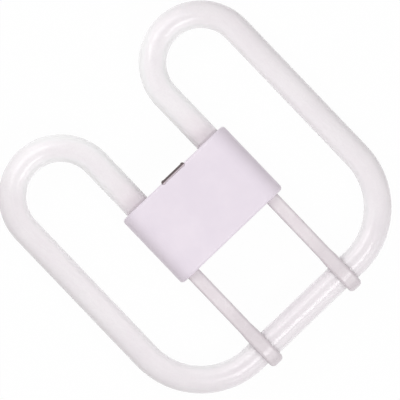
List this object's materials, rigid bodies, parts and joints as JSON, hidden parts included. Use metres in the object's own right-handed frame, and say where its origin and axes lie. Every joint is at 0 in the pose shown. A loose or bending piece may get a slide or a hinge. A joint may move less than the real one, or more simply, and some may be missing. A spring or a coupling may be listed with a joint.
{
  "type": "two-d compact fluorescent bulb",
  "caption": "Flat double-D compact fluorescent bulb: white glass tube bent into loops, central pin cap, arms clipped to the far run.",
  "frame": {"origin": "centre of the cap's flat back face, which the lamp rests on", "axes": "+Z out of the front of the lamp, +Y from the cap to the two U-bends, +X across"},
  "size_m": [0.138, 0.1444, 0.0275],
  "materials": {
    "tube_glass": "clear glass, white phosphor behind it",
    "cap_plastic": "satin moulded",
    "arm_plastic": "slightly translucent moulded",
    "block_plastic": "dark moulded phenolic",
    "pin_metal": "turned, lightly plated",
    "wire_metal": "drawn nickel wire",
    "crimp_metal": "tinned",
    "sleeve_cloth": "woven glass sleeving",
    "cement": "baked basing cement",
    "starter_glass": "clear glass",
    "capacitor_coat": "dipped resin"
  },
  "bodies": {
    "root": {"base_body": "cap_plastic", "base_cover": "cap_plastic", "capacitor_lead_left": "wire_metal", "capacitor_lead_right": "wire_metal", "contact_block": "block_plastic", "contact_pin_left": "pin_metal", "contact_pin_right": "pin_metal", "crimp_left": "crimp_metal", "crimp_right": "crimp_metal", "discharge_tube": "tube_glass", "lead_sleeve_left": "sleeve_cloth", "lead_sleeve_right": "sleeve_cloth", "starter_bulb": "starter_glass", "starter_lead_long": "wire_metal", "starter_lead_short": "wire_metal", "support_arm_left": "arm_plastic", "support_arm_right": "arm_plastic", "suppressor_capacitor": "capacitor_coat", "tube_cement_left": "cement", "tube_cement_right": "cement", "tube_lead_pin_left": "wire_metal", "tube_lead_pin_right": "wire_metal", "tube_lead_starter_left": "wire_metal", "tube_lead_starter_right": "wire_metal"}
  },
  "joints": []
}
